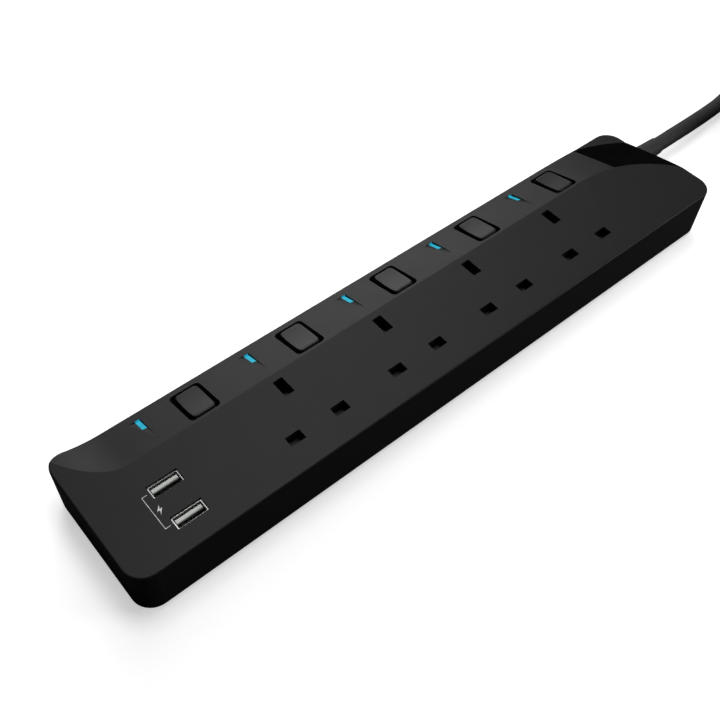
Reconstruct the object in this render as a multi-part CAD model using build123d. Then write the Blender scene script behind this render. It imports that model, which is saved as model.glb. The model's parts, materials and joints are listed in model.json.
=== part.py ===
"""A four-socket mains extension lead with individual rocker switches and two USB ports.

Millimetres, +Z up. The origin is the middle of the underside of the casing. +X runs along the
casing towards the end where the lead leaves it, and +Y towards the row of switches.
"""
import math
import os

from build123d import *

os.makedirs("parts", exist_ok=True)

# Casing
LENGTH = 327.0
WIDTH = 66.5
FACE_Z = 28.0
CORNER_R = 9.0
BASE_INSET = 1.6
BOTTOM_R = 1.5
TOP_R = 0.8
WALL = 2.6
SPLIT_Z = 3.2
SEAM = 0.25
LIP_H = 2.6
FAR = 80.0

# The switch panel falls away behind a crease. At the plain end it sweeps up again, so that the
# crease runs out to the back corner. At the lead end the crease is an arc that runs out to the
# end wall, and the panel falls away round it down to a level corner.
CREASE_Y = 10.6
PANEL_ANGLE = math.radians(15.0)
PANEL_SLOPE = math.tan(PANEL_ANGLE)
SWEEP_X = -139.0
SWEEP_R = 50.0
LEAD_ARC_X = 115.8
LEAD_ARC_R = 58.0
LEAD_DROP = 6.7
WINDOW_X = 136.2
WINDOW_INNER_R = LEAD_ARC_R + 0.5
WINDOW_OUTER_R = LEAD_ARC_R + LEAD_DROP / PANEL_SLOPE
WINDOW_T = 1.4
WINDOW_GAP = 0.12

# Sockets, to the 13 A pattern
PITCH = 52.4
SOCKETS = 4
SOCKET_X = -72.2
LINE_Y = -19.2
PIN_DX = 11.115
EARTH_DY = 22.23
SLOT_LONG = 7.0
SLOT_SHORT = 4.7
EARTH_LONG = 8.6
SLEEVE_DEPTH = 5.4
SLEEVE_WALL = 1.2

# Shutters
SHUTTER_TOP = FACE_Z - SLEEVE_DEPTH - 0.3
SHUTTER_T = 2.0
SHUTTER_TRAVEL = 5.7
SHUTTER_FRONT = -22.2
SHUTTER_BACK = -16.2
SHUTTER_HALF = 15.5
ARM_HALF = 3.4
ARM_END = 4.6
RAMP = 1.6

# Rocker switches, one for the USB ports and one for each socket
SWITCHES = 5
SWITCH_X = -102.8
SWITCH_Y = 21.0
OPEN_X = 14.2
OPEN_Y = 18.8
OPEN_R = 2.1
ROCKER_X = 10.7
ROCKER_Y = 15.8
ROCKER_R = 1.9
ROCKER_PROUD = 0.6
ROCKER_SKIRT = 2.6
PIVOT_DEPTH = 6.0
PIVOT_R = 1.25
PIVOT_FIT = 0.06
REST_TILT = 3.0
HOUSING_X = 17.0
HOUSING_Y = 21.4
HOUSING_TOP = 2.7
HOUSING_FLOOR = 13.5
HOUSING_WALL = 1.2

# Indicator lights
LED_X = -124.9
LED_Y = 25.8
LED_WIDE = 2.0
LED_LONG = 6.2
LED_GAP = 0.1
LED_RAMP_LONG = 4.2
LED_RAMP_WIDE = 10.5
BOARD_Z = 7.2
BOARD_T = 1.6

# USB ports
USB_X = -132.7
USB_YS = (-4.7, -20.7)
USB_WIDE = 13.1
USB_HIGH = 5.7
USB_DEEP = 13.8
USB_SHEET = 0.45
USB_RECESS = 1.0
TONGUE_DROP = 0.7
USB_GAP = 0.12
USB_BOARD_TOP = FACE_Z - USB_DEEP

# Brass strip
STRIP_T = 0.8
LEAF_T = 0.5
CLIP_TOP = 19.4
EARTH_Z = 4.0
NEUTRAL_Z = 5.0
NEUTRAL_Y = -12.4
LIVE_LINK_Z = 7.0
LIVE_BAR_Z = 5.0
LIVE_BAR_Y = 18.6

# Screws
SCREWS = [
    (-153.0, -24.5), (-46.0, -27.0), (58.8, -27.0), (152.5, -24.5),
    (-152.0, 21.0), (-36.5, 10.2), (68.3, 10.2), (121.5, 26.6),
]
SCREW_R = 1.4
SCREW_HEAD_R = 2.8
SCREW_HEAD_T = 1.5
SCREW_TIP = 13.0
POST_R = 3.1

# Lead
CORD_R = 4.0
CORD_Y = 14.8
CORD_Z = 12.0
RELIEF_LENGTH = 21.0
RELIEF_BASE_R = 6.0
RELIEF_TIP_R = 4.5
END_X = LENGTH / 2
INNER_LENGTH = 22.0
CLAMP_T = 1.6
WIRE_R = 1.4

# Coil of the stored lead
COIL_X = 307.0
COIL_Y = -19.0
COIL_MEAN_R = 42.0
TURN_PITCH = 8.2
COIL_LAYERS = 3
TIE_T = 0.8
TIE_W = 9.0
TIE_SLACK = 1.0
TIE_ANGLE = -100.0
COIL_OUT_R = COIL_MEAN_R + 1.5 * TURN_PITCH
COIL_IN_R = COIL_MEAN_R - 1.5 * TURN_PITCH
COIL_H = COIL_LAYERS * TURN_PITCH

# Plug, lying on its back with the pins up
PLUG_H = 22.0
PLUG_FLANGE = 5.5
PLUG_TAIL = 20.0
PLUG_EDGE = 24.0
PLUG_Z = TIE_T + COIL_H + PLUG_H
PLUG_CORD_DEPTH = 12.0
PIN_NECK = 9.5
LINE_PIN_X = 9.7
LINE_PIN = 17.7
EARTH_PIN = 22.7
PIN_ROOT = 4.0

# The lead's last stretch: off the top of the coil, round in even steps and back to the plug
LOOP_R = 44.5
LOOP_STEP = 30.0
LOOP_CORNERS = 7
LOOP_X = COIL_X + 26.0
LOOP_Y = COIL_Y + COIL_MEAN_R + TURN_PITCH - LOOP_R
PLUG_CORD_Z = PLUG_Z - PLUG_CORD_DEPTH
LOOP_HEIGHTS = (21.4, 22.0, 24.0, 27.0, 30.2, 32.9, 34.8, PLUG_CORD_Z, PLUG_CORD_Z)


def socket_xs():
    return [SOCKET_X + PITCH * k for k in range(SOCKETS)]


def switch_xs():
    return [SWITCH_X + PITCH * k for k in range(SWITCHES)]


def led_xs():
    return [LED_X + PITCH * k for k in range(SWITCHES)]


def block(x0, x1, y0, y1, z0, z1):
    """A box from its six limits."""
    return Pos((x0 + x1) / 2, (y0 + y1) / 2, (z0 + z1) / 2) * Box(x1 - x0, y1 - y0, z1 - z0)


def rod(x, y, z0, z1, radius):
    """An upright cylinder."""
    return Pos(x, y, (z0 + z1) / 2) * Cylinder(radius, z1 - z0)


def rod_x(x0, x1, y, z, radius):
    """A cylinder along X."""
    return Pos((x0 + x1) / 2, y, z) * Rot(0, 90, 0) * Cylinder(radius, x1 - x0)


def panel_z(y):
    """Height of the switch panel's surface."""
    return FACE_Z - PANEL_SLOPE * (y - CREASE_Y)


def on_panel(x, y):
    """A plane that lies on the switch panel, its own y pointing down the slope."""
    normal = (0, PANEL_SLOPE, 1)
    return Plane(origin=(x, y, panel_z(y)), x_dir=(1, 0, 0), z_dir=normal)


def rounded_block(plane, wide, long, z0, z1, corner):
    """A prism with rounded corners standing on a plane, between two heights."""
    return plane * Pos(0, 0, z0) * extrude(RectangleRounded(wide, long, corner), z1 - z0)


# ---------------------------------------------------------------- casing form

def swept_panel():
    """The space above the straight part of the panel and its upward sweep at the plain end."""
    end = -LENGTH / 2 - 2
    turned = math.asin((SWEEP_X - end) / SWEEP_R)
    rise = SWEEP_R * (1 - math.cos(turned))
    half_x = SWEEP_X - SWEEP_R * math.sin(turned / 2)
    half_rise = SWEEP_R * (1 - math.cos(turned / 2))
    top = FACE_Z + FAR
    with BuildSketch(Plane.XZ.offset(-CREASE_Y)) as section:
        with BuildLine():
            Line((LEAD_ARC_X, FACE_Z), (SWEEP_X, FACE_Z))
            ThreePointArc((SWEEP_X, FACE_Z), (half_x, FACE_Z + half_rise), (end, FACE_Z + rise))
            Polyline((end, FACE_Z + rise), (end, top), (LEAD_ARC_X, top), (LEAD_ARC_X, FACE_Z))
        make_face()
    downhill = (0, math.cos(PANEL_ANGLE), -math.sin(PANEL_ANGLE))
    return extrude(section.sketch, FAR, dir=downhill)


def panel_space():
    """The space above the switch panel, with its fall round the lead end's arc."""
    low = FACE_Z - LEAD_DROP
    top = FACE_Z + 1
    with BuildSketch(Plane.YZ) as profile:
        with BuildLine():
            Polyline(
                (LEAD_ARC_R, FACE_Z),
                (WINDOW_OUTER_R, low),
                (2 * FAR, low),
                (2 * FAR, top),
                (LEAD_ARC_R, top),
                close=True,
            )
        make_face()
    round_the_end = revolve(profile.sketch, Axis.Z, -90)
    return swept_panel() + Pos(LEAD_ARC_X, CREASE_Y - LEAD_ARC_R, 0) * round_the_end


def form(inset, drop, above):
    """The casing's outer form, made smaller all round by inset and lower by drop."""
    plan = RectangleRounded(LENGTH - 2 * inset, WIDTH - 2 * inset, CORNER_R - inset)
    return extrude(plan, FACE_Z - drop) - Pos(0, 0, -drop) * above


def soft_top(solid):
    """Rounds the upper rim, where the top meets the walls."""
    rim = [
        e for e in solid.edges()
        if e.center().Z > FACE_Z / 2
        and abs(e.tangent_at(0.5).Z) < 0.5
        and on_wall(e.position_at(0.5))
    ]
    return solid.fillet(TOP_R, rim)


def on_wall(point):
    """Whether a point lies on the outer walls."""
    flat_x = LENGTH / 2 - CORNER_R
    flat_y = WIDTH / 2 - CORNER_R
    dx = max(abs(point.X) - flat_x, 0)
    dy = max(abs(point.Y) - flat_y, 0)
    return abs(math.hypot(dx, dy) - CORNER_R) < 0.05


def soft_bottom(solid):
    """Rounds the lower rim."""
    rim = [e for e in solid.edges() if e.center().Z < 0.01]
    return solid.fillet(BOTTOM_R, rim)


# ---------------------------------------------------------------- casing parts

def window_prism(gap):
    """The band between two arcs about the lead end's arc centre, beyond a straight line."""
    centre = Pos(LEAD_ARC_X, CREASE_Y - LEAD_ARC_R, 0)
    high = FACE_Z + 2
    ring = Cylinder(WINDOW_OUTER_R - gap, 2 * high) - Cylinder(WINDOW_INNER_R + gap, 2 * high)
    beyond = block(WINDOW_X + gap, WINDOW_X + FAR, -FAR, FAR, 0, high)
    return (centre * ring) & beyond


def slots():
    """Every socket slot as (x, y, size in x, size in y)."""
    found = []
    for x in socket_xs():
        found.append((x - PIN_DX, LINE_Y, SLOT_LONG, SLOT_SHORT))
        found.append((x + PIN_DX, LINE_Y, SLOT_LONG, SLOT_SHORT))
        found.append((x, LINE_Y + EARTH_DY, SLOT_SHORT, EARTH_LONG))
    return found


def led_recess(x):
    """A shallow ramp at the light, deepest at a short wall along its far side."""
    ramp = on_panel(x + LED_WIDE / 2 + 0.25, LED_Y - 10.0) * Rot(-LED_RAMP_LONG, LED_RAMP_WIDE, 0)
    return ramp * Pos(-4.0, 6.7, 2.5) * Box(8.0, 13.4, 5.0)


def top_cover(outer, above, window_pocket):
    """The upper shell with its slots, openings, sleeves and screw posts."""
    skin = outer & block(-FAR * 3, FAR * 3, -FAR, FAR, SPLIT_Z, FACE_Z)
    hollow = form(WALL, WALL, above)
    cover = skin - hollow
    for x, y, dx, dy in slots():
        wide = dx / 2 + SLEEVE_WALL
        long = dy / 2 + SLEEVE_WALL
        cover += block(x - wide, x + wide, y - long, y + long, FACE_Z - SLEEVE_DEPTH, FACE_Z - 1)
    for x, y in SCREWS:
        post = rod(x, y, SPLIT_Z + 3.0, FACE_Z - 1, POST_R)
        cover += post & form(1.0, 1.0, above)
        cover -= rod(x, y, 0, SCREW_TIP + 1, SCREW_R + 0.05)
    for x in socket_xs():
        for side in (-1, 1):
            rail = x + side * (SHUTTER_HALF + 1.0)
            cover += block(rail - 0.6, rail + 0.6, -29, -15, SHUTTER_TOP - 2.2, FACE_Z - 1)
    for x, y, dx, dy in slots():
        cover -= block(x - dx / 2, x + dx / 2, y - dy / 2, y + dy / 2, 0, FACE_Z + 1)
    for x in switch_xs():
        cover -= rounded_block(on_panel(x, SWITCH_Y), OPEN_X, OPEN_Y, -7, 4, OPEN_R)
    for x in led_xs():
        cover -= led_recess(x)
        plane = on_panel(x, LED_Y)
        cover -= plane * Box(LED_WIDE + 2 * LED_GAP, LED_LONG + 2 * LED_GAP, 12)
    wide = USB_WIDE / 2 + USB_GAP
    high = USB_HIGH / 2 + USB_GAP
    for y in USB_YS:
        cover -= block(USB_X - wide, USB_X + wide, y - high, y + high, FACE_Z - 6, FACE_Z + 1)
    cover -= rod_x(END_X - WALL - 3, END_X + 2, CORD_Y, CORD_Z, RELIEF_BASE_R - 1.4)
    return cover - window_pocket


def base_cover(outer):
    """The lower shell: a tray with a lip inside the upper shell, and supports for the brass."""
    top = SPLIT_Z - SEAM
    base = soft_bottom(outer & block(-FAR * 3, FAR * 3, -FAR, FAR, 0, top))
    lip_out = WALL + 0.2
    lip_in = lip_out + 1.4
    lip = extrude(RectangleRounded(LENGTH - 2 * lip_out, WIDTH - 2 * lip_out, CORNER_R - lip_out), LIP_H)
    lip -= extrude(RectangleRounded(LENGTH - 2 * lip_in, WIDTH - 2 * lip_in, CORNER_R - lip_in), LIP_H)
    for x, y in SCREWS:
        lip -= rod(x, y, -1, 5, POST_R + 0.6)
    base += Pos(0, 0, top - 0.5) * lip
    for x in socket_xs():
        for mid in (x - PITCH / 4, x + PITCH / 4):
            base += block(mid - 1, mid + 1, LINE_Y + EARTH_DY - 2.5, LINE_Y + EARTH_DY + 2.5, 1, EARTH_Z)
            base += block(mid - 1, mid + 1, NEUTRAL_Y - 1.5, NEUTRAL_Y + 1.5, 1, NEUTRAL_Z)
    for x in switch_xs():
        base += block(x + 10, x + 12, LIVE_BAR_Y - 2, LIVE_BAR_Y + 2, 1, LIVE_BAR_Z)
    for x in switch_xs()[:-1]:
        base += block(x + 10, x + 12, LED_Y - 1.2, LED_Y + 2.8, 1, BOARD_Z)
    for y in (3.5, -26.5):
        for x in (-146.0, -108.5):
            base += rod(x, y, 1, USB_BOARD_TOP - BOARD_T, 2.4)
    for y in (CORD_Y - 9, CORD_Y + 9):
        base += rod(END_X - 16, y, 1, CORD_Z + CORD_R, 3.0)
        base -= rod(END_X - 16, y, 5, FACE_Z, SCREW_R + 0.05)
    base += block(END_X - 19, END_X - 13, CORD_Y - 4, CORD_Y + 4, 1, CORD_Z - 1)
    base -= rod_x(END_X - 25, END_X - 10, CORD_Y, CORD_Z, CORD_R)
    for x, y in SCREWS:
        base += rod(x, y, 1, SPLIT_Z + 3.0 - 0.1, POST_R)
        base -= rod(x, y, -1, FACE_Z, SCREW_R + 0.25)
        base -= rod(x, y, -1, SCREW_HEAD_T + 0.4, SCREW_HEAD_R + 0.2)
    return base


def screw(x, y, z_head, z_tip, up):
    """A pan-head screw, its head at z_head and its point at z_tip."""
    thick = SCREW_HEAD_T * up
    low, high = sorted((z_head, z_head + thick))
    head = rod(x, y, low, high, SCREW_HEAD_R)
    low, high = sorted((z_head, z_tip))
    shank = rod(x, y, low, high, SCREW_R)
    slot = Pos(x, y, z_head) * (Box(3.0, 0.7, 1.2) + Box(0.7, 3.0, 1.2))
    return head + shank - slot


def screws():
    """The casing screws and the two that hold the cord clamp, all alike."""
    group = [screw(x, y, 0.4, SCREW_TIP, 1) for x, y in SCREWS]
    head = CORD_Z + CORD_R + CLAMP_T + SCREW_HEAD_T
    for y in (CORD_Y - 9, CORD_Y + 9):
        group.append(screw(END_X - 16, y, head, 6.5, -1))
    return Compound(children=group)


# ---------------------------------------------------------------- switches and lights

def rocker(x):
    """A rocker cap with its skirt and pivot, tipped forward to its latched position."""
    cap = extrude(RectangleRounded(ROCKER_X, ROCKER_Y, ROCKER_R), ROCKER_PROUD + ROCKER_SKIRT)
    cap = fillet(cap.faces().sort_by(Axis.Z)[-1].edges(), 0.7)
    cap = Pos(0, 0, -ROCKER_SKIRT) * cap
    cap -= Pos(0, 0, ROCKER_PROUD + 88 - 0.25) * Rot(0, 90, 0) * Cylinder(88, 30)
    cap += block(-5.0, 5.0, -5.4, 5.4, -7.4, -ROCKER_SKIRT + 0.2)
    stub = HOUSING_X / 2 - 0.3
    cap += rod_x(-stub, stub, 0, -PIVOT_DEPTH, PIVOT_R)
    return on_panel(x, SWITCH_Y) * tilt() * cap


def tilt():
    """The turn about the rocker's pivot that latches it."""
    return Pos(0, 0, -PIVOT_DEPTH) * Rot(REST_TILT, 0, 0) * Pos(0, 0, PIVOT_DEPTH)


def contact_bridge(x):
    """The brass bridge that the rocker carries underneath."""
    plate = block(-3.4, 3.4, -5.6, 5.6, -7.9, -7.4)
    for y in (-4.6, 2.0):
        plate += Pos(0, y, -7.9) * Sphere(0.8) & block(-2, 2, -9, 9, -9.5, -7.6)
    return on_panel(x, SWITCH_Y) * tilt() * plate


def tab_places(x):
    """Where the two fixed contacts of a switch stand: (x, y, top)."""
    return [(x, 13.4, 17.3), (x, LIVE_BAR_Y, 15.4)]


def switch_housing(x):
    """The open-topped box that holds a rocker's pivot and the fixed contacts."""
    plane = on_panel(x, SWITCH_Y)
    box = rounded_block(plane, HOUSING_X, HOUSING_Y, -HOUSING_FLOOR, -HOUSING_TOP, 1.0)
    inner_x = HOUSING_X - 2 * HOUSING_WALL
    inner_y = HOUSING_Y - 2 * HOUSING_WALL
    floor = -HOUSING_FLOOR + HOUSING_WALL
    box -= rounded_block(plane, inner_x, inner_y, floor, 1, 0.8)
    pivot = HOUSING_X / 2 + 1
    box -= plane * rod_x(-pivot, pivot, 0, -PIVOT_DEPTH, PIVOT_R + PIVOT_FIT)
    for tx, ty, top in tab_places(x):
        box -= block(tx - 2.3, tx + 2.3, ty - 0.7, ty + 0.7, 0, top)
    return box


def led_guide(x):
    """A light guide from the light on the board up to the panel's surface."""
    plane = on_panel(x, LED_Y)
    guide = block(x - LED_WIDE / 2, x + LED_WIDE / 2, LED_Y - 2.4, LED_Y + 1.6, BOARD_Z + BOARD_T + 1.2, 22)
    guide += plane * Pos(0, 0, -2.45) * Box(LED_WIDE, LED_LONG, 4.8)
    guide -= plane * Pos(0, 0, 5 - 0.05) * Box(20, 20, 10)
    return guide - led_recess(x)


def led_board():
    """A long narrow board with one small lamp under each light guide."""
    xs = led_xs()
    board = block(xs[0] - 6, xs[-1] + 6, 23.0, 29.0, BOARD_Z, BOARD_Z + BOARD_T)
    for x in xs:
        board += block(x - 0.9, x + 0.9, LED_Y - 1.6, LED_Y + 1.6, BOARD_Z + 1, BOARD_Z + BOARD_T + 1.1)
    return board


# ---------------------------------------------------------------- USB

def usb_shell(y):
    """The formed steel shell of an upright USB type A port."""
    top = FACE_Z - USB_RECESS
    outer = block(-USB_WIDE / 2, USB_WIDE / 2, -USB_HIGH / 2, USB_HIGH / 2, USB_BOARD_TOP, top)
    outer = fillet(outer.edges().filter_by(Axis.Z), 0.7)
    wide = USB_WIDE / 2 - USB_SHEET
    high = USB_HIGH / 2 - USB_SHEET
    inner = block(-wide, wide, -high, high, USB_BOARD_TOP - 1, FACE_Z + 2)
    inner = fillet(inner.edges().filter_by(Axis.Z), 0.4)
    shell = outer - inner
    for x in (-3.0, 3.0):
        shell -= block(x - 1.0, x + 1.0, -USB_HIGH, USB_HIGH, FACE_Z - 7.0, FACE_Z - 4.0)
    return Pos(USB_X, y, 0) * shell


def usb_tongue(y):
    """The insulator block with its tongue and four contacts."""
    wide = USB_WIDE / 2 - USB_SHEET - 0.05
    high = USB_HIGH / 2 - USB_SHEET - 0.05
    solid = block(-wide, wide, -high, high, USB_BOARD_TOP, USB_BOARD_TOP + 4.4)
    solid = fillet(solid.edges().filter_by(Axis.Z), 0.5)
    top = FACE_Z - USB_RECESS - TONGUE_DROP
    tongue = block(-5.55, 5.55, 0, 1.84, USB_BOARD_TOP + 4, top)
    tongue = chamfer(tongue.faces().sort_by(Axis.Z)[-1].edges().filter_by(Axis.X), 0.34)
    solid += tongue
    for x in (-3.5, -1.0, 1.0, 3.5):
        solid += block(x - 0.5, x + 0.5, -0.2, 0.2, USB_BOARD_TOP + 4, top - 1.5)
    return Pos(USB_X, y, 0) * solid


def usb_board():
    """The charger board with its small parts and the two leads from the first switch."""
    low = USB_BOARD_TOP - BOARD_T
    board = block(-152.5, -105.5, -29, 6.2, low, USB_BOARD_TOP)
    board -= rod(-153.0, -24.5, 0, FACE_Z, POST_R + 0.5)
    for x, y in ((-146, -8), (-146, -14), (-121, -2), (-121, 2)):
        board += block(x - 1.6, x + 1.6, y - 1, y + 1, USB_BOARD_TOP - 0.2, USB_BOARD_TOP + 1.2)
    return board


def usb_transformer():
    """A small switching transformer: ferrite core round a taped winding."""
    x, y, z = -114.0, -20.0, USB_BOARD_TOP
    core = block(x - 6.0, x + 6.0, y - 5.5, y + 5.5, z, z + 9.5)
    core -= block(x - 4.4, x + 4.4, y - 6, y + 6, z + 1.6, z + 7.9)
    core += block(x - 3.8, x + 3.8, y - 6.4, y + 6.4, z + 1.6, z + 7.9)
    return core


def usb_capacitor():
    """A can capacitor with a groove near its foot."""
    x, y, z = -114.0, -6.0, USB_BOARD_TOP
    can = rod(x, y, z, z + 10, 4.0)
    can = fillet(can.edges().sort_by(Axis.Z)[-1], 0.5)
    groove = rod(x, y, z + 1.8, z + 2.6, 5.0) - rod(x, y, z + 1.8, z + 2.6, 3.6)
    return can - groove


# ---------------------------------------------------------------- shutters and brass

def shutter(x):
    """The sprung plate that closes the two lower slots until the earth pin pushes it."""
    low = SHUTTER_TOP - SHUTTER_T
    plate = block(-SHUTTER_HALF, SHUTTER_HALF, SHUTTER_FRONT, SHUTTER_BACK, low, SHUTTER_TOP)
    plate += block(-ARM_HALF, ARM_HALF, SHUTTER_BACK - 1, ARM_END, low, SHUTTER_TOP)
    ramp_edge = plate.edges().filter_by(Axis.X).sort_by(Axis.Y)[-2:].sort_by(Axis.Z)[-1]
    plate = chamfer(ramp_edge, RAMP)
    return Pos(x, 0, 0) * plate


def shutter_spring(x):
    """A folded leaf spring between the shutter and the front wall."""
    start = SHUTTER_FRONT - 0.05
    end = -WIDTH / 2 + WALL + 0.05
    folds = 4
    sheet = 0.3
    step = (start - end - sheet) / folds
    low = SHUTTER_TOP - SHUTTER_T + 0.2
    high = SHUTTER_TOP - 0.2
    spring = None
    for k in range(folds):
        side = 4.5 * (-1) ** k
        near = start - sheet - step * k
        far = near - step
        outline = Polyline((side, near), (-side, far), (-side, far + sheet), (side, near + sheet), close=True)
        leaf = Pos(0, 0, low) * extrude(make_face(outline), high - low, dir=(0, 0, 1))
        spring = leaf if spring is None else spring + leaf
    return Pos(x, 0, 0) * spring


def clip(gap, low, length):
    """A spring clip for a flat pin: two leaves on a floor, along X, with flared lips."""
    half = gap / 2
    lip = half + 1.3
    outline = [
        (half, CLIP_TOP - 2.5), (lip, CLIP_TOP), (lip + LEAF_T, CLIP_TOP),
        (half + LEAF_T, CLIP_TOP - 2.7), (half + LEAF_T + 0.5, low + 2), (half + LEAF_T + 0.5, low),
    ]
    mirrored = [(-u, v) for u, v in reversed(outline)]
    inner = [(-half - 0.5, low + STRIP_T), (half + 0.5, low + STRIP_T)]
    face = make_face(Polyline(*outline, *mirrored, *inner, close=True))
    return Plane.YZ.offset(-length / 2) * extrude(face, length)


def earth_busbar():
    """The earth strip with a clip for each socket."""
    y = LINE_Y + EARTH_DY
    xs = socket_xs()
    bar = block(xs[0] - 8, xs[-1] + 28, y - 3, y + 3, EARTH_Z, EARTH_Z + STRIP_T)
    for x in xs:
        bar += Pos(x, y, 0) * Rot(0, 0, 90) * clip(3.5, EARTH_Z, 7.0)
    return bar


def neutral_busbar():
    """The neutral strip along the front, with a clip on a tab at each socket."""
    xs = [x - PIN_DX for x in socket_xs()]
    bar = block(xs[0] - 4, xs[-1] + 34, NEUTRAL_Y - 2, NEUTRAL_Y + 2, NEUTRAL_Z, NEUTRAL_Z + STRIP_T)
    for x in xs:
        bar += block(x - 3, x + 3, LINE_Y - 2, NEUTRAL_Y, NEUTRAL_Z, NEUTRAL_Z + STRIP_T)
        bar += Pos(x, LINE_Y, 0) * clip(3.5, NEUTRAL_Z, 6.0)
    return bar


def live_contact(x, switch_x):
    """One socket's live clip and the link to its own switch."""
    clip_x = x + PIN_DX
    link = Pos(clip_x, LINE_Y, 0) * clip(3.5, LIVE_LINK_Z, 6.0)
    high = LIVE_LINK_Z + STRIP_T
    link += block(clip_x - 2, clip_x + 2, LINE_Y, 13.8, LIVE_LINK_Z, high)
    link += block(clip_x - 2, switch_x + 2, 10.0, 13.8, LIVE_LINK_Z, high)
    tx, ty, top = tab_places(switch_x)[0]
    link += block(tx - 2, tx + 2, ty - STRIP_T / 2, ty + STRIP_T / 2, LIVE_LINK_Z, top)
    return link


def live_busbar():
    """The live strip under the switches, with a tab up into each of them."""
    xs = switch_xs()
    y = LIVE_BAR_Y
    bar = block(xs[0] - 4, xs[-1] + 16, y - 2, y + 2, LIVE_BAR_Z, LIVE_BAR_Z + STRIP_T)
    for x in xs:
        tx, ty, top = tab_places(x)[1]
        bar += block(tx - 2, tx + 2, ty - STRIP_T / 2, ty + STRIP_T / 2, LIVE_BAR_Z, top)
    return bar


# ---------------------------------------------------------------- lead, coil and plug

def arc_radii(points):
    """The largest sensible radius for each corner of a route."""
    radii = []
    for before, here, after in zip(points, points[1:], points[2:]):
        run_in = Vector(*here) - Vector(*before)
        run_out = Vector(*after) - Vector(*here)
        turn = math.radians(run_in.get_angle(run_out))
        radii.append(0.45 * min(run_in.length, run_out.length) / math.tan(turn / 2))
    return radii


def tube(name, points, radius):
    """A round tube of straight runs joined by tangent arcs."""
    radii = arc_radii(points)
    route = FilletPolyline(*points, radius=radii)
    section = Plane(origin=route @ 0, z_dir=route % 0) * Circle(radius)
    solid = sweep(section, path=route)
    expected = math.pi * radius ** 2 * route.length
    print(name, "radii", [round(r, 1) for r in radii], "length", round(route.length, 1),
          "volume ratio", round(solid.volume / expected, 4))
    return solid


def strain_relief():
    """The tapered sleeve at the casing, its neck through the wall and a flange inside."""
    taper = Pos(END_X + 1.0 + (RELIEF_LENGTH - 1) / 2, CORD_Y, CORD_Z) * Rot(0, 90, 0)
    taper *= Cone(RELIEF_BASE_R - 0.7, RELIEF_TIP_R, RELIEF_LENGTH - 1)
    collar = rod_x(END_X, END_X + 1.4, CORD_Y, CORD_Z, RELIEF_BASE_R)
    neck = rod_x(END_X - WALL, END_X, CORD_Y, CORD_Z, RELIEF_BASE_R - 1.4)
    flange = rod_x(END_X - WALL - 2.2, END_X - WALL, CORD_Y, CORD_Z, RELIEF_BASE_R)
    inner = rod_x(END_X - INNER_LENGTH, END_X - WALL, CORD_Y, CORD_Z, CORD_R - 0.02)
    return taper + collar + neck + flange + inner


def cord_clamp():
    """The bar that two screws press down on the sheath."""
    x = END_X - 16
    low = CORD_Z + CORD_R
    bar = block(x - 3.5, x + 3.5, CORD_Y - 12.5, CORD_Y + 12.5, low, low + CLAMP_T)
    for y in (CORD_Y - 9, CORD_Y + 9):
        bar -= rod(x, y, 0, FACE_Z, SCREW_R + 0.2)
    return bar


CORD_ROUTE = [
    (END_X + RELIEF_LENGTH, CORD_Y, CORD_Z),
    (205.5, CORD_Y, CORD_Z),
    (230.0, 16.8, 8.9),
    (256.0, 19.9, 5.6),
    (282.0, 26.6, TIE_T + CORD_R + 0.1),
    (COIL_X, COIL_Y + COIL_MEAN_R + TURN_PITCH, TIE_T + CORD_R + 0.1),
]


def loop_heading():
    """The direction in which the lead runs into the plug."""
    turned = math.radians(LOOP_STEP * LOOP_CORNERS)
    return math.cos(turned), -math.sin(turned)


def tail_route():
    """The corners of the lead's last stretch."""
    half_step = math.radians(LOOP_STEP / 2)
    corner = LOOP_R / math.cos(half_step)
    run = 2 * LOOP_R * math.tan(half_step)
    angles = [math.radians(90 - LOOP_STEP * (k + 0.5)) for k in range(LOOP_CORNERS)]
    flat = [(LOOP_X + corner * math.cos(a), LOOP_Y + corner * math.sin(a)) for a in angles]
    first = (flat[0][0] - run, flat[0][1])
    head_x, head_y = loop_heading()
    last = (flat[-1][0] + run * head_x, flat[-1][1] + run * head_y)
    return [(x, y, z) for (x, y), z in zip([first, *flat, last], LOOP_HEIGHTS)]


def cord_coil():
    """The outer shape of the wound lead."""
    ring = Cylinder(COIL_OUT_R, COIL_H) - Cylinder(COIL_IN_R, COIL_H)
    ring = fillet(ring.edges(), 3.0)
    return Pos(COIL_X, COIL_Y, TIE_T + COIL_H / 2) * ring


def coil_tie():
    """The strap round the coil."""
    reach = COIL_OUT_R - COIL_IN_R
    outer = Box(reach + TIE_SLACK + 2 * TIE_T, TIE_W, COIL_H + 2 * TIE_T)
    outer = fillet(outer.edges().filter_by(Axis.Y), 3.2)
    inner = fillet(Box(reach + TIE_SLACK, TIE_W + 1, COIL_H).edges().filter_by(Axis.Y), 2.4)
    place = Pos(COIL_X, COIL_Y, TIE_T + COIL_H / 2) * Rot(0, 0, TIE_ANGLE) * Pos(COIL_MEAN_R, 0, 0)
    return place * (outer - inner)


def plug_place():
    """Where the plug lies: its sleeve at the lead's end, its back on the coil."""
    x, y, _ = tail_route()[-1]
    head_x, head_y = loop_heading()
    reach = PLUG_EDGE + PLUG_TAIL
    return Pos(x + reach * head_x, y + reach * head_y, PLUG_Z) * Rot(0, 0, 180 - LOOP_STEP * LOOP_CORNERS)


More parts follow.
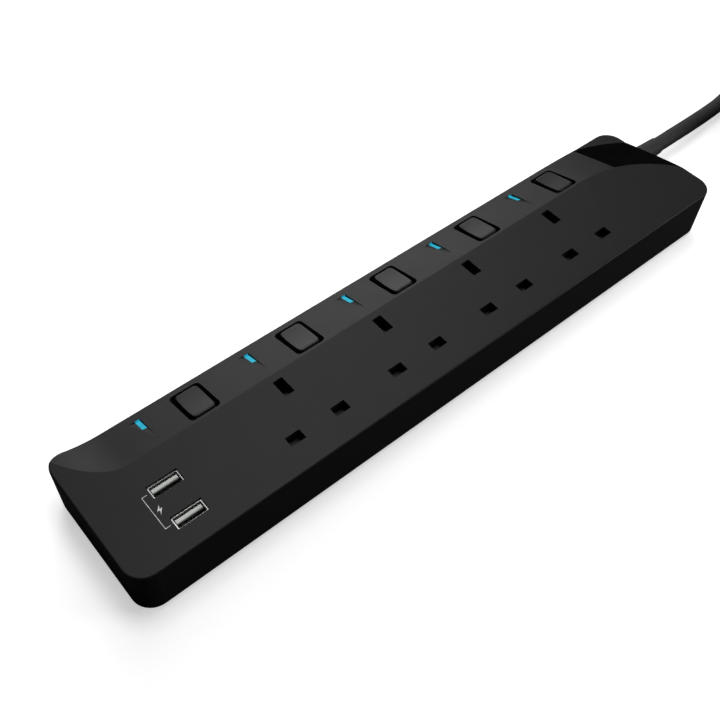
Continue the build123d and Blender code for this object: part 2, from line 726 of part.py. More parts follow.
def plug_body():
    """The moulded plug: flange, hump, tapered cord sleeve and the sleeves of the line pins."""
    outline = Polyline(
        (-23, -15), (-23, 15), (-14, 24), (20, 24.5), (PLUG_EDGE, 20), (PLUG_EDGE, -20), (20, -24.5),
        (-14, -24), close=True,
    )
    flange = extrude(make_face(outline), -PLUG_FLANGE)
    flange = fillet(flange.edges().filter_by(Axis.Z), 4.0)
    flange = chamfer(flange.faces().sort_by(Axis.Z)[0].edges(), 1.2)
    hump = Pos(1.5, 0, -PLUG_FLANGE) * extrude(RectangleRounded(43, 36, 8), -(PLUG_H - PLUG_FLANGE))
    hump = fillet(hump.faces().sort_by(Axis.Z)[0].edges(), 4.0)
    tail = Pos(PLUG_EDGE - 3 + (PLUG_TAIL + 3) / 2, 0, -PLUG_CORD_DEPTH) * Rot(0, 90, 0)
    tail *= Cone(7.0, RELIEF_TIP_R, PLUG_TAIL + 3)
    body = flange + hump + tail
    body -= block(-6.2, 20.2, -4.9, 4.9, -8.2, 1)
    for y in (-PIN_DX, PIN_DX):
        body += block(LINE_PIN_X - 1.985, LINE_PIN_X + 1.985, y - 3.175, y + 3.175, -1, PIN_NECK)
        body -= block(LINE_PIN_X - 1.485, LINE_PIN_X + 1.485, y - 2.675, y + 2.675, -PIN_ROOT, PIN_NECK + 1)
    earth_x = LINE_PIN_X - EARTH_DY
    body -= block(earth_x - 3.975, earth_x + 3.975, -1.985, 1.985, -PIN_ROOT, 1)
    return plug_place() * body


def plug_pins():
    """The three brass pins."""
    pins = []
    for y in (-PIN_DX, PIN_DX):
        pin = block(LINE_PIN_X - 1.485, LINE_PIN_X + 1.485, y - 2.675, y + 2.675, -PIN_ROOT, PIN_NECK)
        tip = block(LINE_PIN_X - 1.985, LINE_PIN_X + 1.985, y - 3.175, y + 3.175, PIN_NECK, LINE_PIN)
        pins.append(pin + chamfer(tip.faces().sort_by(Axis.Z)[-1].edges(), 0.9))
    earth_x = LINE_PIN_X - EARTH_DY
    earth = block(earth_x - 3.975, earth_x + 3.975, -1.985, 1.985, -PIN_ROOT, EARTH_PIN)
    pins.append(chamfer(earth.faces().sort_by(Axis.Z)[-1].edges(), 1.0))
    return plug_place() * Compound(children=pins)


def plug_fuse_carrier():
    """The drawer in the pin face that holds the fuse."""
    tray = block(-6.1, 20.1, -4.8, 4.8, -8.1, 0)
    tray -= rod_x(-5.8, 19.8, 0, -4.6, 3.2)
    tray -= block(-2.5, 16.5, -3.0, 3.0, -9, -4.6)
    return plug_place() * tray


def plug_fuse():
    """A 25.4 mm cartridge fuse with its end caps."""
    fuse = rod_x(-5.7, 19.7, 0, -4.6, 3.0)
    for x in (-5.7, 14.2):
        fuse += rod_x(x, x + 5.5, 0, -4.6, 3.15)
    return plug_place() * fuse


def wires():
    """The three conductors from the end of the sheath to the brass strips."""
    start = END_X - INNER_LENGTH - 0.5
    low = CORD_Y - 1.4
    earth_y = LINE_Y + EARTH_DY
    live = [(start, CORD_Y + 1.6, CORD_Z), (131, CORD_Y + 3.4, 11.0), (124.5, LIVE_BAR_Y, 7.6)]
    earth = [(start, low, CORD_Z - 1.6), (132, 9.0, 8.6), (120, 4.6, 6.8), (109, earth_y, 6.3)]
    neutral = [(start, low, CORD_Z + 1.6), (134, 4.0, 12.0), (129, -8.0, 9.4), (122, NEUTRAL_Y, 7.3)]
    return {
        "wire_live": tube("wire_live", live, WIRE_R),
        "wire_earth": tube("wire_earth", earth, WIRE_R),
        "wire_neutral": tube("wire_neutral", neutral, WIRE_R),
    }


# ---------------------------------------------------------------- build

def build():
    above = panel_space()
    outer = soft_top(form(0, 0, above))
    lowered = Pos(0, 0, -WINDOW_T) * outer
    nodes = {}
    nodes["status_window"] = (window_prism(WINDOW_GAP) - lowered) & outer
    nodes["top_cover"] = top_cover(outer, above, window_prism(0) - lowered)
    nodes["base_cover"] = base_cover(form(BASE_INSET, 0, above))
    nodes["screws"] = screws()
    for k, x in enumerate(switch_xs(), 1):
        nodes[f"rocker_{k}"] = rocker(x)
        nodes[f"contact_bridge_{k}"] = contact_bridge(x)
        nodes[f"switch_housing_{k}"] = switch_housing(x)
    for k, x in enumerate(led_xs(), 1):
        nodes[f"led_guide_{k}"] = led_guide(x)
    nodes["led_board"] = led_board()
    for k, y in enumerate(USB_YS, 1):
        nodes[f"usb_shell_{k}"] = usb_shell(y)
        nodes[f"usb_tongue_{k}"] = usb_tongue(y)
    nodes["usb_board"] = usb_board()
    nodes["usb_transformer"] = usb_transformer()
    nodes["usb_capacitor"] = usb_capacitor()
    for k, x in enumerate(socket_xs(), 1):
        nodes[f"shutter_{k}"] = shutter(x)
        nodes[f"shutter_spring_{k}"] = shutter_spring(x)
        nodes[f"live_contact_{k}"] = live_contact(x, switch_xs()[k])
    nodes["live_busbar"] = live_busbar()
    nodes["neutral_busbar"] = neutral_busbar()
    nodes["earth_busbar"] = earth_busbar()
    nodes["strain_relief"] = strain_relief()
    nodes["cord_clamp"] = cord_clamp()
    nodes.update(wires())
    nodes["cord_tube"] = tube("cord_tube", CORD_ROUTE, CORD_R)
    nodes["cord_tail"] = tube("cord_tail", tail_route(), CORD_R)
    nodes["cord_coil"] = cord_coil()
    nodes["coil_tie"] = coil_tie()
    nodes["plug_body"] = plug_body()
    nodes["plug_pins"] = plug_pins()
    nodes["plug_fuse_carrier"] = plug_fuse_carrier()
    nodes["plug_fuse"] = plug_fuse()
    return nodes


for node, solid in build().items():
    export_step(solid, f"parts/{node}.step")
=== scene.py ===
"""Looks of the four-socket power strip: camera, lead, materials and small details.

Metres, in the row frame: the origin is the middle of the underside, +X runs towards the end where
the lead leaves the casing, +Y towards the switches, +Z up.
"""
import json
import math

import bmesh
import bpy
from mathutils import Matrix, Vector


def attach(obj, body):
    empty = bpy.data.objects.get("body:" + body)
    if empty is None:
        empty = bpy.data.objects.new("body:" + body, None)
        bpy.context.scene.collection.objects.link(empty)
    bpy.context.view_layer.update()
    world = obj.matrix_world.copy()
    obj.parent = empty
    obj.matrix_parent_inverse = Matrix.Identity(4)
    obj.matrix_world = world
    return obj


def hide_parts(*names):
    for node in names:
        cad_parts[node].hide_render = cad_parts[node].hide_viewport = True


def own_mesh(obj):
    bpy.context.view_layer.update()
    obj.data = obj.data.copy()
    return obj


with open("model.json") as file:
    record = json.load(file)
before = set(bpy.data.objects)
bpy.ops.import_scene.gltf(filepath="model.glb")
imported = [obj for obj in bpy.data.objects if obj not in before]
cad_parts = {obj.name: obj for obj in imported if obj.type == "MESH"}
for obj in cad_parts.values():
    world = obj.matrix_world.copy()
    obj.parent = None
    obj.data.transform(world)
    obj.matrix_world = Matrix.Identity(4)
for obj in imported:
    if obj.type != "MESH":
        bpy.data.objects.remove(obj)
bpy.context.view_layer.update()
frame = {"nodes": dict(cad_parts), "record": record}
nodes = frame["nodes"]
MM = 0.001

# Places and counts that part.py's casing and lead have too, in millimetres
END_X = 163.5
FACE_Z = 28.0
CORD_Y = 14.8
CORD_Z = 12.0
CORD_R = 4.0
RELIEF_LENGTH = 21.0
COIL_X = 307.0
COIL_Y = -19.0
COIL_MEAN_R = 42.0
TURN_PITCH = 8.2
SOCKETS = 4
SOCKET_X = -72.2
PITCH = 52.4
USB_X = -132.7
USB_YS = (-4.7, -20.7)

# Sockets of a Mix node that mixes colours
MIX_FACTOR = 0
MIX_ONE = 6
MIX_TWO = 7
MIX_RESULT = 2


def add_object(name, data):
    """A new object in the scene with this data."""
    piece = bpy.data.objects.new(name, data)
    bpy.context.scene.collection.objects.link(piece)
    return piece


def prism(bm, corners, height):
    """A prism that stands on these corners and is that tall, in metres."""
    base = bm.faces.new([bm.verts.new(corner) for corner in corners])
    grown = bmesh.ops.extrude_face_region(bm, geom=[base])
    for v in grown["geom"]:
        if isinstance(v, bmesh.types.BMVert):
            v.co.z += height


# ---------------------------------------------------------------- camera

def make_camera():
    """Looks down along the strip, from its plain end and from the side away from the switches."""
    place = (-0.19676, -0.17633, 0.32925)
    right = Vector((0.76430, -0.64397, 0.03403))
    down = Vector((-0.49507, -0.61976, -0.60894))
    forward = Vector((0.41322, 0.44856, -0.79249))
    data = bpy.data.cameras.new("camera")
    data.sensor_width = 36.0
    data.lens = 46.41
    data.clip_start = 0.01
    camera = add_object("camera", data)
    turn = Matrix((right, -down, -forward)).transposed().to_4x4()
    camera.matrix_world = Matrix.Translation(place) @ turn
    bpy.context.scene.camera = camera


# ---------------------------------------------------------------- materials

class Nodes:
    """Short calls for building one material's node tree."""

    def __init__(self, name, color, rough, metallic=0.0, specular=0.5, coat=0.0, coat_rough=0.1):
        self.material = bpy.data.materials.new(name)
        self.material.use_nodes = True
        self.tree = self.material.node_tree
        self.shader = self.tree.nodes["Principled BSDF"]
        self.shader.inputs["Base Color"].default_value = (*color, 1)
        self.shader.inputs["Roughness"].default_value = rough
        self.shader.inputs["Metallic"].default_value = metallic
        self.shader.inputs["Specular IOR Level"].default_value = specular
        self.shader.inputs["Coat Weight"].default_value = coat
        self.shader.inputs["Coat Roughness"].default_value = coat_rough
        self.where = self.add("ShaderNodeTexCoord").outputs["Object"]

    def add(self, kind, **values):
        node = self.tree.nodes.new(kind)
        for key, value in values.items():
            setattr(node, key, value)
        return node

    def link(self, source, target):
        self.tree.links.new(source, target)

    def noise(self, scale, detail, stretch=None):
        """Noise with scale features to the metre, or a stretched version of it."""
        node = self.add("ShaderNodeTexNoise")
        node.inputs["Scale"].default_value = scale
        node.inputs["Detail"].default_value = detail
        self.link(self.stretched(stretch), node.inputs["Vector"])
        return node.outputs["Fac"]

    def cells(self, scale):
        """Small cells, scale of them to the metre, as the distance from each one's middle."""
        node = self.add("ShaderNodeTexVoronoi")
        node.inputs["Scale"].default_value = scale
        self.link(self.where, node.inputs["Vector"])
        return node.outputs["Distance"]

    def bands(self, scale):
        """Diagonal bands, finer with a higher scale."""
        node = self.add("ShaderNodeTexWave", bands_direction="DIAGONAL")
        node.inputs["Scale"].default_value = scale
        self.link(self.where, node.inputs["Vector"])
        return node.outputs["Fac"]

    def stretched(self, stretch):
        """The object's own coordinates, each multiplied by its number in stretch."""
        if stretch is None:
            return self.where
        node = self.add("ShaderNodeMapping")
        node.inputs["Scale"].default_value = stretch
        self.link(self.where, node.inputs["Vector"])
        return node.outputs["Vector"]

    def remap(self, value, low, high, to_low, to_high):
        """Takes low to to_low and high to to_high, and holds what is beyond them."""
        node = self.add("ShaderNodeMapRange")
        ends = {"From Min": low, "From Max": high, "To Min": to_low, "To Max": to_high}
        for key, number in ends.items():
            node.inputs[key].default_value = number
        self.link(value, node.inputs["Value"])
        return node.outputs["Result"]

    def colors(self, value, stops):
        """A colour ramp from a value; stops are (place, colour)."""
        node = self.add("ShaderNodeValToRGB")
        ramp = node.color_ramp
        while len(ramp.elements) < len(stops):
            ramp.elements.new(0.5)
        for element, (place, color) in zip(ramp.elements, stops):
            element.position = place
            element.color = (*color, 1)
        self.link(value, node.inputs["Fac"])
        return node.outputs["Color"]

    def blend(self, factor, one, two):
        """Mixes two colours, each given as a colour or as a node's output."""
        node = self.add("ShaderNodeMix", data_type="RGBA")
        for index, value in ((MIX_FACTOR, factor), (MIX_ONE, one), (MIX_TWO, two)):
            socket = node.inputs[index]
            if hasattr(value, "links"):
                self.link(value, socket)
            elif isinstance(value, tuple):
                socket.default_value = (*value, 1)
            else:
                socket.default_value = value
        return node.outputs[MIX_RESULT]

    def edge_highlight(self, amount):
        """Rises from 0 on flat faces to amount along convex edges: a painted highlight where the
        rounded rims catch the light.
        """
        flat, sharp = 0.52, 0.60
        geometry = self.add("ShaderNodeNewGeometry")
        return self.remap(geometry.outputs["Pointiness"], flat, sharp, 0.0, amount)

    def bump(self, height, strength, distance, before=None):
        """Tips the surface by a height texture, on top of an earlier bump if there is one."""
        node = self.add("ShaderNodeBump")
        node.inputs["Strength"].default_value = strength
        node.inputs["Distance"].default_value = distance
        self.link(height, node.inputs["Height"])
        if before is not None:
            self.link(before, node.inputs["Normal"])
        return node.outputs["Normal"]

    def color_from(self, output):
        self.link(output, self.shader.inputs["Base Color"])

    def rough_from(self, output):
        self.link(output, self.shader.inputs["Roughness"])

    def normal_from(self, output):
        self.link(output, self.shader.inputs["Normal"])


def grained_plastic(name, dark, light, rough, grain, specular):
    """Moulded plastic with a fine spark-eroded grain, faint mottling and edges painted paler as a
    highlight.
    """
    n = Nodes(name, dark, rough, specular=specular)
    speck = n.noise(3500, 2)
    mixed = n.colors(n.noise(1400, 4), [(0.3, dark), (0.7, light)])
    # Paler colour along convex edges: a painted highlight on the rims.
    highlight_color = tuple(1.5 * c for c in light)
    n.color_from(n.blend(n.edge_highlight(0.4), mixed, highlight_color))
    fine = n.cells(2600)
    spread = 0.012
    n.rough_from(n.remap(n.noise(70, 5), 0.3, 0.7, rough - spread, rough + spread))
    n.normal_from(n.bump(speck, 0.25, grain, n.bump(fine, 0.3, grain)))
    return n.material


def cord_sheath():
    """Satin PVC sheath, faintly mottled and a little uneven."""
    dark, light = (0.028, 0.028, 0.029), (0.046, 0.046, 0.047)
    n = Nodes("cord_black", dark, 0.66, specular=0.30)
    n.color_from(n.colors(n.noise(900, 4), [(0.3, dark), (0.7, light)]))
    n.rough_from(n.remap(n.noise(400, 4), 0.3, 0.7, 0.60, 0.74))
    n.normal_from(n.bump(n.noise(1100, 3), 0.5, 0.00012))
    return n.material


def window_gloss():
    """Polished black acrylic, with the faintest orange peel and hairline scratches."""
    dark, light = (0.0012, 0.0012, 0.0013), (0.0022, 0.0022, 0.0024)
    n = Nodes("window_gloss", dark, 0.05, specular=0.35, coat=0.25, coat_rough=0.03)
    hair = n.noise(900, 2, stretch=(1.0, 0.03, 1.0))
    n.rough_from(n.remap(hair, 0.35, 0.75, 0.04, 0.10))
    n.color_from(n.colors(n.noise(200, 2), [(0.3, dark), (0.7, light)]))
    n.normal_from(n.bump(n.noise(220, 1), 0.04, 0.00005))
    return n.material


def light_blue():
    """A light guide that glows cyan-blue, with a faint cloud in its colour."""
    dark, light = (0.008, 0.24, 0.35), (0.018, 0.31, 0.43)
    n = Nodes("light_blue", dark, 0.55, specular=0.15)
    tint = n.colors(n.noise(420, 2), [(0.3, dark), (0.7, light)])
    n.color_from(tint)
    n.link(tint, n.shader.inputs["Emission Color"])
    n.shader.inputs["Emission Strength"].default_value = 0.85
    n.normal_from(n.bump(n.noise(1500, 2), 0.15, 0.00005))
    return n.material


def metal(name, dark, light, rough):
    """Bare metal with fine upright drawn lines and slight tarnish."""
    n = Nodes(name, light, rough, metallic=1.0)
    lines = n.noise(900, 4, stretch=(1.0, 1.0, 0.05))
    n.color_from(n.colors(n.noise(120, 3), [(0.25, dark), (0.7, light)]))
    n.rough_from(n.remap(lines, 0.3, 0.7, rough - 0.07, rough + 0.10))
    n.normal_from(n.bump(lines, 0.2, 0.00004))
    return n.material


def smooth_plastic(name, dark, light, rough):
    """Plain moulded plastic, ceramic or insulation with faint mottling."""
    n = Nodes(name, dark, rough)
    n.color_from(n.colors(n.noise(90, 3), [(0.3, dark), (0.7, light)]))
    n.rough_from(n.remap(n.noise(300, 3), 0.3, 0.7, rough - 0.05, rough + 0.08))
    n.normal_from(n.bump(n.noise(1200, 2), 0.2, 0.00005))
    return n.material


def circuit_board():
    """Solder mask over copper tracks that run along the board."""
    bare, track = (0.012, 0.09, 0.035), (0.025, 0.17, 0.07)
    n = Nodes("board_green", bare, 0.3, coat=0.3)
    tracks = n.noise(260, 1, stretch=(0.25, 1.0, 1.0))
    n.color_from(n.colors(tracks, [(0.44, bare), (0.48, track), (0.54, track), (0.58, bare)]))
    n.normal_from(n.bump(tracks, 0.2, 0.0001))
    return n.material


def ferrite():
    """Dull dark ferrite with a coarse fired surface."""
    dark, light = (0.02, 0.02, 0.022), (0.06, 0.06, 0.062)
    n = Nodes("ferrite_grey", dark, 0.7)
    n.color_from(n.colors(n.noise(700, 4), [(0.35, dark), (0.75, light)]))
    n.normal_from(n.bump(n.noise(1500, 3), 0.5, 0.0001))
    return n.material


def earth_core():
    """Green insulation with slanting yellow stripes."""
    green, yellow = (0.03, 0.22, 0.04), (0.62, 0.52, 0.03)
    n = Nodes("core_green", green, 0.4)
    n.color_from(n.colors(n.bands(160), [(0.45, green), (0.55, yellow)]))
    n.normal_from(n.bump(n.noise(1200, 2), 0.2, 0.00005))
    return n.material


def strap_plastic():
    """The soft strap of the tie, with a slanting rib."""
    dark, light = (0.009, 0.009, 0.01), (0.02, 0.02, 0.021)
    n = Nodes("tie_black", dark, 0.7, specular=0.3)
    rib = n.bands(420)
    n.color_from(n.colors(rib, [(0.2, dark), (0.8, light)]))
    n.normal_from(n.bump(rib, 0.6, 0.0002))
    return n.material


def pad_print():
    """Pale grey pad print."""
    dark, light = (0.66, 0.66, 0.66), (0.84, 0.84, 0.84)
    n = Nodes("print_grey", dark, 0.6, specular=0.3)
    n.color_from(n.colors(n.noise(2500, 3), [(0.25, dark), (0.6, light)]))
    n.normal_from(n.bump(n.noise(3500, 2), 0.2, 0.00003))
    return n.material


def make_materials():
    """Every material by its name. The rows start with the two colours that a material varies
    between and its roughness; grained plastic adds the grain's height in metres and the gloss."""
    grained = {
        "casing_black": ((0.0105, 0.0105, 0.0112), (0.0130, 0.0130, 0.0138), 0.50, 0.00006, 0.22),
        "rocker_black": ((0.0110, 0.0110, 0.0117), (0.0138, 0.0138, 0.0146), 0.42, 0.00004, 0.22),
        "plug_black": ((0.011, 0.011, 0.012), (0.015, 0.015, 0.016), 0.44, 0.00006, 0.4),
    }
    smooth = {
        "core_brown": ((0.10, 0.035, 0.012), (0.15, 0.055, 0.02), 0.4),
        "core_blue": ((0.01, 0.06, 0.28), (0.02, 0.09, 0.36), 0.4),
        "inner_black": ((0.006, 0.006, 0.006), (0.009, 0.009, 0.009), 0.6),
        "tongue_white": ((0.80, 0.83, 0.78), (0.88, 0.90, 0.86), 0.35),
        "fuse_ceramic": ((0.60, 0.58, 0.53), (0.68, 0.66, 0.61), 0.2),
        # Dark greenish colour for the USB tongue's side: painted shade, as that side lies in shadow.
        "tongue_shade": ((0.006, 0.011, 0.007), (0.011, 0.019, 0.012), 0.55),
    }
    metals = {
        "brass": ((0.42, 0.26, 0.09), (0.62, 0.42, 0.17), 0.28),
        "port_steel": ((0.38, 0.38, 0.38), (0.56, 0.56, 0.55), 0.26),
        "spring_steel": ((0.35, 0.35, 0.36), (0.52, 0.52, 0.53), 0.3),
        "screw_steel": ((0.30, 0.30, 0.31), (0.46, 0.46, 0.47), 0.35),
        "can_aluminium": ((0.60, 0.60, 0.61), (0.76, 0.76, 0.77), 0.25),
    }
    made = {
        "cord_black": cord_sheath(),
        "window_gloss": window_gloss(),
        "light_blue": light_blue(),
        "tie_black": strap_plastic(),
        "board_green": circuit_board(),
        "ferrite_grey": ferrite(),
        "core_green": earth_core(),
        "print_grey": pad_print(),
    }
    for maker, rows in ((grained_plastic, grained), (smooth_plastic, smooth), (metal, metals)):
        for name, values in rows.items():
            made[name] = maker(name, *values)
    return made


def dress_nodes(materials):
    """Gives every CAD node the material of its slot."""
    for entry in frame["record"]["subparts"]:
        node = nodes[entry["node"]]
        node.data.materials.clear()
        node.data.materials.append(materials[entry["material_slot"]])


# ---------------------------------------------------------------- lead

# The lead, in millimetres: from the casing down to the coil, round it, and off it in a loop to the plug
TURNS = 6
TURN_POINTS = 16
LOW_Z = 4.9
LEAD_ROUTE = [
    (END_X + RELIEF_LENGTH, CORD_Y, CORD_Z),
    (205.5, CORD_Y, CORD_Z),
    (230.0, 16.8, 8.9),
    (256.0, 19.9, 5.6),
    (282.0, 26.6, LOW_Z),
    (COIL_X, COIL_Y + COIL_MEAN_R + TURN_PITCH, LOW_Z),
]
LOOP_R = 44.5
LOOP_STEP = 30.0
LOOP_CORNERS = 7
LOOP_X = COIL_X + 26.0
LOOP_Y = COIL_Y + COIL_MEAN_R + TURN_PITCH - LOOP_R
PLUG_CORD_Z = 35.4
LOOP_HEIGHTS = (21.4, 22.0, 24.0, 27.0, 30.2, 32.9, 34.8, PLUG_CORD_Z, PLUG_CORD_Z)

# The turns between which the winding moves by one pitch
GOES_IN = ((0.72, 1.0), (1.72, 2.0))
GOES_OUT = ((3.22, 3.47), (4.22, 4.47))
GOES_UP = ((2.47, 2.72), (5.0, 5.22))


def tail_route():
    """The corners of the lead's last stretch, off the coil and round to the plug."""
    half_step = math.radians(LOOP_STEP / 2)
    corner = LOOP_R / math.cos(half_step)
    run = 2 * LOOP_R * math.tan(half_step)
    angles = [math.radians(90 - LOOP_STEP * (k + 0.5)) for k in range(LOOP_CORNERS)]
    flat = [(LOOP_X + corner * math.cos(a), LOOP_Y + corner * math.sin(a)) for a in angles]
    turned = math.radians(LOOP_STEP * LOOP_CORNERS)
    first = (flat[0][0] - run, flat[0][1])
    last = (flat[-1][0] + run * math.cos(turned), flat[-1][1] - run * math.sin(turned))
    return [(x, y, z) for (x, y), z in zip([first, *flat, last], LOOP_HEIGHTS)]


def eased(value, start, end):
    """0 before start, 1 after end, and a smooth step between them."""
    t = min(1.0, max(0.0, (value - start) / (end - start)))
    return t * t * (3 - 2 * t)


def coil_place(turn):
    """Radius and height of the wound lead after so many turns: three rings going in on the floor,
    a second layer on top of them coming out, and the last turn on top of that."""
    steps_in = sum(eased(turn, *span) for span in GOES_IN)
    steps_out = sum(eased(turn, *span) for span in GOES_OUT)
    climbs = sum(eased(turn, *span) for span in GOES_UP)
    radius = COIL_MEAN_R + TURN_PITCH * (1 - steps_in + steps_out)
    return radius, LOW_Z + TURN_PITCH * climbs


def coil_points():
    """The control points of the wound stretch, clockwise seen from above, from the side with
    the greatest y. They lie outside the wound radius, so that the curve between them is on it."""
    points = []
    outward = 1 / math.cos(math.pi / TURN_POINTS)
    for k in range(TURNS * TURN_POINTS):
        turn = (k + 0.5) / TURN_POINTS
        radius, height = coil_place(turn)
        angle = 2 * math.pi * turn
        across = radius * outward
        points.append((COIL_X + across * math.sin(angle), COIL_Y + across * math.cos(angle), height))
    return points


def spline_piece(name, points, radius):
    """A round cord along a smooth curve with these control points, in millimetres."""
    curve = bpy.data.curves.new(name, "CURVE")
    curve.dimensions = "3D"
    spline = curve.splines.new("NURBS")
    spline.points.add(len(points) - 1)
    for point, place in zip(spline.points, points):
        point.co = (*(v * MM for v in place), 1)
    spline.order_u = 3
    spline.use_endpoint_u = True
    spline.resolution_u = 6
    curve.bevel_depth = radius * MM
    curve.bevel_resolution = 8
    curve.use_fill_caps = True
    return add_object(name, curve)


def spline_length(piece):
    """The length of a curve piece's own line, in metres."""
    bare = piece.data.copy()
    bare.bevel_depth = 0
    probe = bpy.data.objects.new("probe", bare)
    mesh = bpy.data.meshes.new_from_object(probe)
    places = [v.co.copy() for v in mesh.vertices]
    bpy.data.objects.remove(probe)
    bpy.data.meshes.remove(mesh)
    bpy.data.curves.remove(bare)
    return sum((b - a).length for a, b in zip(places, places[1:]))


def make_lead(materials):
    """The whole lead as one soft cord, in place of the CAD's three stretches of it."""
    points = LEAD_ROUTE + coil_points() + tail_route()
    lead = spline_piece("mains_lead", points, CORD_R)
    lead.data.materials.append(materials["cord_black"])
    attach(lead, "casing")
    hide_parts("cord_tube", "cord_coil", "cord_tail")
    length = spline_length(lead)
    print("lead length", round(length, 4))


# ---------------------------------------------------------------- printed marks

# In millimetres: the print's height off the face and thickness, the bracket's line and the flash
PRINT_GAP = 0.002
PRINT_THICK = 0.03
LINE_WIDE = 0.24
LINE_X = -142.95
LINE_END_X = -140.6
FLASH_X = -140.2
FLASH_Y = -12.8
FLASH = ((0.7, 2.0), (-1.2, -0.25), (-0.15, -0.25), (-0.7, -2.0), (1.2, 0.35), (0.15, 0.35))


def flat_mark(name, outlines, materials):
    """Thin printed shapes on the top face; each outline is a list of (x, y) in millimetres."""
    mesh = bpy.data.meshes.new(name)
    bm = bmesh.new()
    for outline in outlines:
        prism(bm, [(x * MM, y * MM, (FACE_Z + PRINT_GAP) * MM) for x, y in outline], PRINT_THICK * MM)
    bmesh.ops.recalc_face_normals(bm, faces=bm.faces)
    bm.to_mesh(mesh)
    bm.free()
    mesh.materials.append(materials["print_grey"])
    piece = add_object(name, mesh)
    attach(piece, "casing")


def make_marks(materials):
    """A thin bracket that joins the two USB ports, with a small lightning flash inside it."""
    left, right = LINE_X, LINE_END_X
    top, bottom = USB_YS
    top_in, bottom_in, left_in = top - LINE_WIDE, bottom + LINE_WIDE, left + LINE_WIDE
    bars = [
        [(left, top), (right, top), (right, top_in), (left, top_in)],
        [(left, bottom), (right, bottom), (right, bottom_in), (left, bottom_in)],
        [(left, top_in), (left_in, top_in), (left_in, bottom_in), (left, bottom_in)],
    ]
    flat_mark("usb_bracket_print", bars, materials)
    flat_mark("usb_flash_print", [[(x + FLASH_X, FLASH_Y + y) for x, y in FLASH]], materials)


# ---------------------------------------------------------------- painted shade on the USB tongues

# In millimetres, from the port's middle and down from the face
PLATE_HALF_X = 5.5
PLATE_FRONT = 0.45
PLATE_BACK = 0.1
PLATE_DEPTH = 7.2
PLATE_TALL = 5.2
PLATE_EDGE = 0.08


def plate_corners(port_y):
    """The lower corners of one painted shade plate, in metres."""
    left, right = USB_X - PLATE_HALF_X, USB_X + PLATE_HALF_X
    front, back = port_y - PLATE_FRONT, port_y + PLATE_BACK
    low = FACE_Z - PLATE_DEPTH
    corners = ((left, front), (right, front), (right, back), (left, back))
    return [(x * MM, y * MM, low * MM) for x, y in corners]


def make_tongue_shade_plates(materials):
    """A dark plate on the camera's side of each USB tongue, where the contacts sit: its darkness is
    painted shade for that side, which lies in shadow deep in the shell.
    """
    for k, port_y in enumerate(USB_YS, 1):
        name = f"usb_tongue_shade_{k}"
        mesh = bpy.data.meshes.new(name)
        bm = bmesh.new()
        prism(bm, plate_corners(port_y), PLATE_TALL * MM)
        bmesh.ops.recalc_face_normals(bm, faces=bm.faces)
        bmesh.ops.bevel(bm, geom=bm.edges[:], offset=PLATE_EDGE * MM, segments=2, affect="EDGES")
        bm.to_mesh(mesh)
        bm.free()
        mesh.materials.append(materials["tongue_shade"])
        piece = add_object(name, mesh)
        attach(piece, "casing")


# ---------------------------------------------------------------- springs

# In millimetres: where a spring meets its shutter and its anchor, its edges, folds and sheet
SPRING_START = -22.25
SPRING_END = -30.6
SPRING_LOW = 20.5
SPRING_HIGH = 22.1
SPRING_REACH = 4.35
SPRING_SHEET = 0.3
SPRING_FOLDS = 4
SPRING_STEPS = 64


def spring_line(t):
    """A place on the folded strip's middle line, and the direction across the sheet there."""
    turn = math.pi * SPRING_FOLDS * t
    x = SPRING_REACH * math.cos(turn)
    y = SPRING_START + (SPRING_END - SPRING_START) * t
    sideways = -SPRING_REACH * math.pi * SPRING_FOLDS * math.sin(turn)
    along = Vector((sideways, SPRING_END - SPRING_START)).normalized()
    return x, y, (-along.y, along.x)


def spring_mesh(name, middle):
    """One folded strip, its four long edges carried along the middle line and its ends closed."""
    verts, faces = [], []
    for step in range(SPRING_STEPS + 1):
        x, y, (nx, ny) = spring_line(step / SPRING_STEPS)
        for side, z in ((-0.5, SPRING_LOW), (0.5, SPRING_LOW), (0.5, SPRING_HIGH), (-0.5, SPRING_HIGH)):
            edge_x = middle + x + side * SPRING_SHEET * nx
            edge_y = min(SPRING_START, max(SPRING_END, y + side * SPRING_SHEET * ny))
            verts.append((edge_x * MM, edge_y * MM, z * MM))
    for step in range(SPRING_STEPS):
        a = 4 * step
        faces += [(a + i, a + (i + 1) % 4, a + 4 + (i + 1) % 4, a + 4 + i) for i in range(4)]
    last = 4 * SPRING_STEPS
    faces += [(3, 2, 1, 0), (last, last + 1, last + 2, last + 3)]
    mesh = bpy.data.meshes.new(name)
    mesh.from_pydata(verts, [], faces)
    mesh.update()
    return mesh


def make_springs(materials):
    """The shutters' folded leaf springs, with rounded folds."""
    for k in range(1, SOCKETS + 1):
        middle = SOCKET_X + PITCH * (k - 1)
        name = f"shutter_leaf_{k}"
        mesh = spring_mesh(name, middle)
        mesh.materials.append(materials["spring_steel"])
        piece = add_object(name, mesh)
        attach(piece, "casing")
        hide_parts(f"shutter_spring_{k}")
        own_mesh(piece)


# ---------------------------------------------------------------- stage

# What the camera sees of the floor and the world is paler than what lights the object
FLOOR_HALF = 6.0
FLOOR_TRUE = 0.06
FLOOR_SEEN = 0.95
FLOOR_GLOW = 0.54
WORLD_TRUE = 0.012
WORLD_SEEN = 0.93

# Each light's name, place, target, width, height and watts
LIGHTS = (
    ("light_top", (0.65, 0.85, 1.45), (0.0, 0.0, 0.0), 1.0, 1.0, 4.5),
    ("light_fill", (0.25, 0.12, 1.8), (0.0, 0.0, 0.0), 0.9, 0.6, 12.5),
    ("light_back", (0.8, 1.7, 0.85), (0.0, 0.0, 0.0), 1.2, 0.5, 13),
    ("light_side", (0.6, -0.5, 0.3), (0.12, 0.0, 0.0), 0.3, 0.3, 1.8),
)


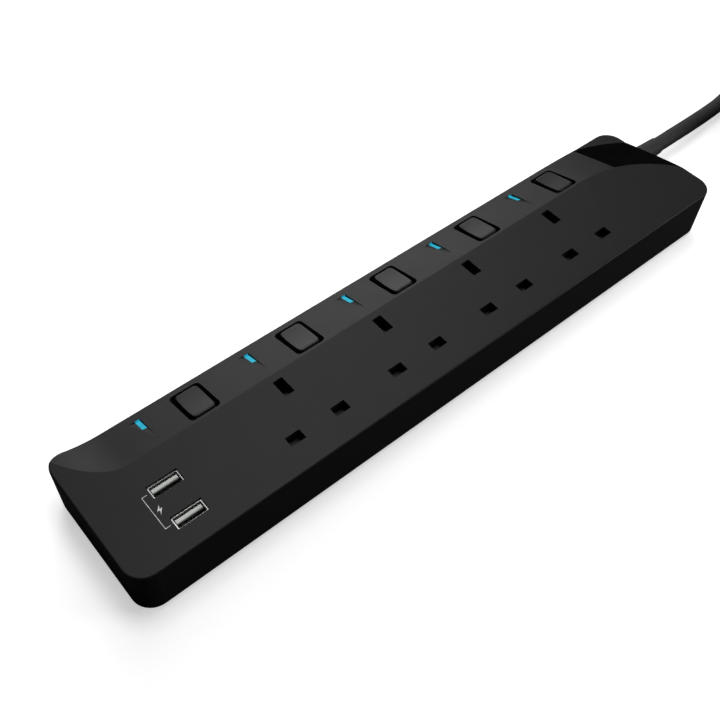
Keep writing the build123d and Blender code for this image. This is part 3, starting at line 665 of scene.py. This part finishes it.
def make_stage():
    """A pale floor, a surrounding that looks pale too, and the lights."""
    mesh = bpy.data.meshes.new("floor")
    size = FLOOR_HALF
    corners = [(-size, -size, 0), (size, -size, 0), (size, size, 0), (-size, size, 0)]
    mesh.from_pydata(corners, [], [(0, 1, 2, 3)])
    floor = add_object("floor", mesh)
    floor.data.materials.append(floor_material())
    make_world()
    for light in LIGHTS:
        soft_box(*light)


def make_world():
    """Pale to look at, but nearly dark as a source of light."""
    world = bpy.data.worlds.new("world")
    bpy.context.scene.world = world
    world.use_nodes = True
    tree = world.node_tree
    background = tree.nodes["Background"]
    background.inputs["Color"].default_value = (1, 1, 1, 1)
    seen = tree.nodes.new("ShaderNodeLightPath")
    strength = tree.nodes.new("ShaderNodeMapRange")
    strength.inputs["To Min"].default_value = WORLD_TRUE
    strength.inputs["To Max"].default_value = WORLD_SEEN
    tree.links.new(seen.outputs["Is Camera Ray"], strength.inputs["Value"])
    tree.links.new(strength.outputs["Result"], background.inputs["Strength"])


def floor_material():
    """White to look at, but it sends little light back up at the object."""
    material = bpy.data.materials.new("floor_pale")
    material.use_nodes = True
    tree = material.node_tree
    shader = tree.nodes["Principled BSDF"]
    shader.inputs["Roughness"].default_value = 0.9
    shader.inputs["Specular IOR Level"].default_value = 0.0
    seen = tree.nodes.new("ShaderNodeLightPath")
    mix = tree.nodes.new("ShaderNodeMix")
    mix.data_type = "RGBA"
    mix.inputs[MIX_ONE].default_value = (FLOOR_TRUE, FLOOR_TRUE, FLOOR_TRUE, 1)
    mix.inputs[MIX_TWO].default_value = (FLOOR_SEEN, FLOOR_SEEN, FLOOR_SEEN, 1)
    tree.links.new(seen.outputs["Is Camera Ray"], mix.inputs[MIX_FACTOR])
    tree.links.new(mix.outputs[MIX_RESULT], shader.inputs["Base Color"])
    shader.inputs["Emission Color"].default_value = (1, 1, 1, 1)
    glow = tree.nodes.new("ShaderNodeMath")
    glow.operation = "MULTIPLY"
    glow.inputs[1].default_value = FLOOR_GLOW
    tree.links.new(seen.outputs["Is Camera Ray"], glow.inputs[0])
    tree.links.new(glow.outputs["Value"], shader.inputs["Emission Strength"])
    return material


def soft_box(name, place, target, wide, high, watts):
    """A rectangular light at one place that faces another."""
    data = bpy.data.lights.new(name, "AREA")
    data.shape = "RECTANGLE"
    data.size = wide
    data.size_y = high
    data.energy = watts
    light = add_object(name, data)
    aim = (Vector(target) - Vector(place)).to_track_quat("-Z", "Y")
    light.matrix_world = Matrix.Translation(place) @ aim.to_matrix().to_4x4()


materials = make_materials()
make_camera()
make_lead(materials)
dress_nodes(materials)
make_marks(materials)
make_tongue_shade_plates(materials)
make_springs(materials)
make_stage()
bpy.context.scene.view_settings.view_transform = "Standard"
